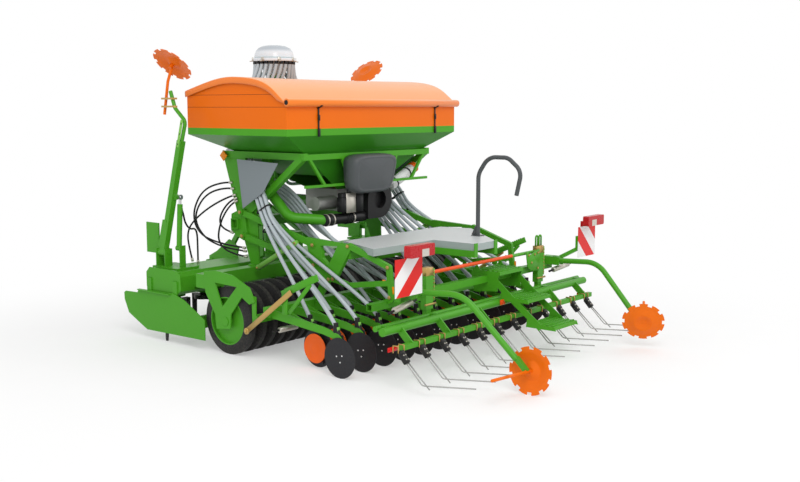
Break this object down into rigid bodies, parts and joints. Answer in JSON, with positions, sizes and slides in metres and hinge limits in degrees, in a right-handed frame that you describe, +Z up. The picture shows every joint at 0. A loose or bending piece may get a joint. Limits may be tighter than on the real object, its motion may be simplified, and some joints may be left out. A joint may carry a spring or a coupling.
{
  "type": "mounted pneumatic seed drill on a rotary cultivator with packer roller",
  "caption": "Mounted seed drill: rotary cultivator, packer roller, covered hopper with distributor head, disc coulters, following harrow and folding markers.",
  "frame": {"origin": "on the ground, under the middle of the machine's bounding box", "axes": "+X to the machine's right, +Y forward in the direction of travel, +Z up"},
  "size_m": [3.084, 4.282, 2.69],
  "materials": {
    "green_paint": "gloss paint",
    "hopper_paint": "gloss paint, green below a straight edge",
    "orange_paint": "gloss paint",
    "cover_fabric": "coated tarpaulin",
    "black_rubber": "matt",
    "grey_sheet": "satin grey",
    "cast_aluminium": "cast",
    "black_plastic": "moulded",
    "dark_plastic": "moulded, fine grain",
    "grey_plastic": "smooth",
    "orange_plastic": "moulded",
    "disc_steel": "blued steel",
    "tine_steel": "hardened steel",
    "spring_steel": "drawn wire",
    "board_aluminium": "perforated sheet",
    "grey_tube": "powder coat",
    "zinc_plate": "yellow zinc",
    "sign_face": "reflective sheeting in slanting bands",
    "lamp_red": "lens",
    "black_paint": "gloss",
    "chrome_rod": "polished"
  },
  "bodies": {
    "root": {"roller_frame": "green_paint", "scraper_bar": "green_paint", "rotor_trough": "green_paint", "cultivator_gearbox": "green_paint", "levelling_bar": "green_paint", "side_plates": "green_paint", "headstock": "green_paint", "hopper_shell": "hopper_paint", "hopper_cover": "cover_fabric", "drill_frame": "green_paint", "hose_shields": "grey_sheet", "metering_unit": "cast_aluminium", "fan_housing": "black_plastic", "air_duct": "green_paint", "distributor_head": "grey_plastic", "metering_cover": "dark_plastic", "loading_board": "board_aluminium", "coulter_frame": "green_paint", "coulter_arms": "green_paint", "seed_boots": "black_plastic", "handrail": "grey_tube", "depth_adjusters": "zinc_plate", "harrow_frame": "green_paint", "steps": "green_paint", "tine_holders": "black_plastic", "harrow_tines": "spring_steel", "warning_boards": "sign_face", "rear_lamps": "lamp_red", "marker_brackets": "green_paint", "row_marker_brackets": "green_paint"},
    "rotor_01": {"rotor_01": "tine_steel"},
    "rotor_02": {"rotor_02": "tine_steel"},
    "rotor_03": {"rotor_03": "tine_steel"},
    "rotor_04": {"rotor_04": "tine_steel"},
    "rotor_05": {"rotor_05": "tine_steel"},
    "rotor_06": {"rotor_06": "tine_steel"},
    "rotor_07": {"rotor_07": "tine_steel"},
    "rotor_08": {"rotor_08": "tine_steel"},
    "rotor_09": {"rotor_09": "tine_steel"},
    "rotor_10": {"rotor_10": "tine_steel"},
    "roller": {"roller_drum": "green_paint", "roller_rings": "black_rubber"},
    "front_disc_row": {"front_steel_discs": "disc_steel", "front_depth_discs": "orange_plastic"},
    "rear_disc_row": {"rear_steel_discs": "disc_steel", "rear_depth_discs": "orange_plastic"},
    "marker_arm_left": {"marker_arm_left": "green_paint"},
    "marker_disc_left": {"marker_disc_left": "orange_paint"},
    "marker_barrel_left": {"marker_barrel_left": "black_paint"},
    "marker_rod_left": {"marker_rod_left": "chrome_rod"},
    "row_marker_arm_left": {"row_marker_arm_left": "green_paint"},
    "row_marker_disc_left": {"row_marker_disc_left": "orange_paint"},
    "marker_arm_right": {"marker_arm_right": "green_paint"},
    "marker_disc_right": {"marker_disc_right": "orange_paint"},
    "marker_barrel_right": {"marker_barrel_right": "black_paint"},
    "marker_rod_right": {"marker_rod_right": "chrome_rod"},
    "row_marker_arm_right": {"row_marker_arm_right": "green_paint"},
    "row_marker_disc_right": {"row_marker_disc_right": "orange_paint"}
  },
  "joints": [
    {"name": "rotor_01_spin", "type": "hinge", "parent": "root", "child": "rotor_01", "pos_m": [-1.35, 1.511, 0.365], "axis": [0, 0, 1], "continuous": true},
    {"name": "rotor_02_spin", "type": "hinge", "parent": "root", "child": "rotor_02", "pos_m": [-1.05, 1.511, 0.365], "axis": [0, 0, 1], "continuous": true},
    {"name": "rotor_03_spin", "type": "hinge", "parent": "root", "child": "rotor_03", "pos_m": [-0.75, 1.511, 0.365], "axis": [0, 0, 1], "continuous": true},
    {"name": "rotor_04_spin", "type": "hinge", "parent": "root", "child": "rotor_04", "pos_m": [-0.45, 1.511, 0.365], "axis": [0, 0, 1], "continuous": true},
    {"name": "rotor_05_spin", "type": "hinge", "parent": "root", "child": "rotor_05", "pos_m": [-0.15, 1.511, 0.365], "axis": [0, 0, 1], "continuous": true},
    {"name": "rotor_06_spin", "type": "hinge", "parent": "root", "child": "rotor_06", "pos_m": [0.15, 1.511, 0.365], "axis": [0, 0, 1], "continuous": true},
    {"name": "rotor_07_spin", "type": "hinge", "parent": "root", "child": "rotor_07", "pos_m": [0.45, 1.511, 0.365], "axis": [0, 0, 1], "continuous": true},
    {"name": "rotor_08_spin", "type": "hinge", "parent": "root", "child": "rotor_08", "pos_m": [0.75, 1.511, 0.365], "axis": [0, 0, 1], "continuous": true},
    {"name": "rotor_09_spin", "type": "hinge", "parent": "root", "child": "rotor_09", "pos_m": [1.05, 1.511, 0.365], "axis": [0, 0, 1], "continuous": true},
    {"name": "rotor_10_spin", "type": "hinge", "parent": "root", "child": "rotor_10", "pos_m": [1.35, 1.511, 0.365], "axis": [0, 0, 1], "continuous": true},
    {"name": "roller_spin", "type": "hinge", "parent": "root", "child": "roller", "pos_m": [0, 0.691, 0.29], "axis": [1, 0, 0], "continuous": true},
    {"name": "front_discs_spin", "type": "hinge", "parent": "root", "child": "front_disc_row", "pos_m": [0, -0.199, 0.16], "axis": [1, 0, 0], "continuous": true},
    {"name": "rear_discs_spin", "type": "hinge", "parent": "root", "child": "rear_disc_row", "pos_m": [0, -0.574, 0.16], "axis": [1, 0, 0], "continuous": true},
    {"name": "marker_left_fold", "type": "hinge", "parent": "root", "child": "marker_arm_left", "pos_m": [-1.37, 1.656, 0.78], "axis": [0, -1, 0], "range_deg": [0, 107]},
    {"name": "marker_disc_left_spin", "type": "hinge", "parent": "marker_arm_left", "child": "marker_disc_left", "pos_m": [-1.299, 1.543, 2.468], "axis": [0.6702, 0, 0.7422], "continuous": true},
    {"name": "marker_barrel_left_tilt", "type": "hinge", "parent": "root", "child": "marker_barrel_left", "pos_m": [-1.33431, 1.483, 0.82823], "axis": [0, -1, 0], "range_deg": [0, 107.58]},
    {"name": "marker_rod_left_slide", "type": "slide", "parent": "marker_barrel_left", "child": "marker_rod_left", "axis": [0.0575, 0, 0.9983], "range_m": [0, 0.09643]},
    {"name": "row_marker_left_raise", "type": "hinge", "parent": "root", "child": "row_marker_arm_left", "pos_m": [-1.056, -1.009, 0.674], "axis": [-1, 0, 0], "range_deg": [0, 75]},
    {"name": "row_marker_disc_left_spin", "type": "hinge", "parent": "row_marker_arm_left", "child": "row_marker_disc_left", "pos_m": [-0.905, -1.961, 0.18], "axis": [0.9982, 0, -0.06], "continuous": true},
    {"name": "marker_right_fold", "type": "hinge", "parent": "root", "child": "marker_arm_right", "pos_m": [1.37, 1.656, 0.78], "axis": [0, 1, 0], "range_deg": [0, 107]},
    {"name": "marker_disc_right_spin", "type": "hinge", "parent": "marker_arm_right", "child": "marker_disc_right", "pos_m": [1.299, 1.543, 2.468], "axis": [-0.6702, 0, 0.7422], "continuous": true},
    {"name": "marker_barrel_right_tilt", "type": "hinge", "parent": "root", "child": "marker_barrel_right", "pos_m": [1.33431, 1.483, 0.82823], "axis": [0, 1, 0], "range_deg": [0, 107.58]},
    {"name": "marker_rod_right_slide", "type": "slide", "parent": "marker_barrel_right", "child": "marker_rod_right", "axis": [-0.0575, 0, 0.9983], "range_m": [0, 0.09643]},
    {"name": "row_marker_right_raise", "type": "hinge", "parent": "root", "child": "row_marker_arm_right", "pos_m": [1.056, -1.009, 0.674], "axis": [-1, 0, 0], "range_deg": [0, 75]},
    {"name": "row_marker_disc_right_spin", "type": "hinge", "parent": "row_marker_arm_right", "child": "row_marker_disc_right", "pos_m": [0.905, -1.961, 0.243], "axis": [-0.8331, -0.399, -0.383], "continuous": true}
  ],
  "couplings": [
    {"joint": "rotor_02_spin", "follows": "rotor_01_spin", "ratio": -1},
    {"joint": "rotor_03_spin", "follows": "rotor_01_spin", "ratio": 1},
    {"joint": "rotor_04_spin", "follows": "rotor_01_spin", "ratio": -1},
    {"joint": "rotor_05_spin", "follows": "rotor_01_spin", "ratio": 1},
    {"joint": "rotor_06_spin", "follows": "rotor_01_spin", "ratio": -1},
    {"joint": "rotor_07_spin", "follows": "rotor_01_spin", "ratio": 1},
    {"joint": "rotor_08_spin", "follows": "rotor_01_spin", "ratio": -1},
    {"joint": "rotor_09_spin", "follows": "rotor_01_spin", "ratio": 1},
    {"joint": "rotor_10_spin", "follows": "rotor_01_spin", "ratio": -1},
    {"joint": "marker_barrel_left_tilt", "follows": "marker_left_fold", "ratio": 1.0054},
    {"joint": "marker_rod_left_slide", "follows": "marker_left_fold", "m_per_rad": 0.051583},
    {"joint": "marker_barrel_right_tilt", "follows": "marker_right_fold", "ratio": 1.0054},
    {"joint": "marker_rod_right_slide", "follows": "marker_right_fold", "m_per_rad": 0.051583}
  ]
}
